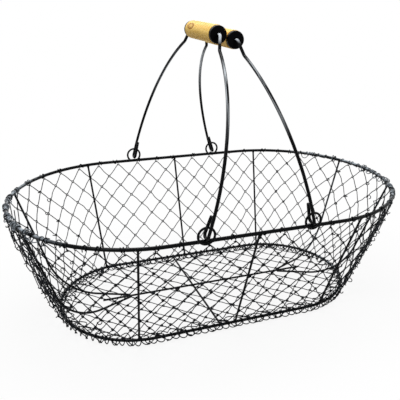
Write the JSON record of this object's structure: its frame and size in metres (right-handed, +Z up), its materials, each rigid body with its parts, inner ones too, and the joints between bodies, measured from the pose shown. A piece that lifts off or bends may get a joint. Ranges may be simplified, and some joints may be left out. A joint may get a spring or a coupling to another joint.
{
  "type": "harvest basket",
  "caption": "Oval open harvest basket of black wire and diamond wire net, with swinging bail handles that carry turning wooden grips.",
  "frame": {"origin": "middle of the basket on the plane it stands on", "axes": "+X along the basket's length, +Y across it to the back, +Z up"},
  "size_m": [0.3852, 0.2398, 0.2708],
  "materials": {
    "frame_wire": "gloss black",
    "net_wire": "satin black",
    "grip_wood": "plain smooth pale wood",
    "cap_black": "gloss black"
  },
  "bodies": {
    "basket": {"top_rim": "frame_wire", "base_ring": "frame_wire", "rib_front_left": "frame_wire", "rib_front_middle": "frame_wire", "rib_front_right": "frame_wire", "rib_back_right": "frame_wire", "rib_back_middle": "frame_wire", "rib_back_left": "frame_wire", "keel_wire": "frame_wire", "cross_wire": "frame_wire", "end_rib_right_front": "frame_wire", "end_rib_right_back": "frame_wire", "end_rib_left_back": "frame_wire", "end_rib_left_front": "frame_wire", "eye_front_left": "frame_wire", "eye_front_right": "frame_wire", "eye_back_right": "frame_wire", "eye_back_left": "frame_wire", "net_front": "net_wire", "net_right_end": "net_wire", "net_back": "net_wire", "net_left_end": "net_wire", "bottom_net": "net_wire", "rim_ties": "net_wire", "base_lacing_front": "net_wire", "base_lacing_right_end": "net_wire", "base_lacing_back": "net_wire", "base_lacing_left_end": "net_wire"},
    "left_bail": {"left_bail": "frame_wire"},
    "right_bail": {"right_bail": "frame_wire"},
    "left_grip": {"left_grip": "grip_wood", "left_cap_front": "cap_black", "left_cap_back": "cap_black"},
    "right_grip": {"right_grip": "grip_wood", "right_cap_front": "cap_black", "right_cap_back": "cap_black"}
  },
  "joints": [
    {"name": "left_bail_swing", "type": "hinge", "parent": "basket", "child": "left_bail", "pos_m": [-0.0475, 0, 0.118], "axis": [0, -1, 0], "range_deg": [0, 100]},
    {"name": "right_bail_swing", "type": "hinge", "parent": "basket", "child": "right_bail", "pos_m": [0.0475, 0, 0.118], "axis": [0, 1, 0], "range_deg": [0, 100]},
    {"name": "left_grip_turn", "type": "hinge", "parent": "left_bail", "child": "left_grip", "pos_m": [-0.0083, 0, 0.26279], "axis": [0, 1, 0], "continuous": true},
    {"name": "right_grip_turn", "type": "hinge", "parent": "right_bail", "child": "right_grip", "pos_m": [0.00771, 0, 0.25839], "axis": [0, 1, 0], "continuous": true}
  ]
}
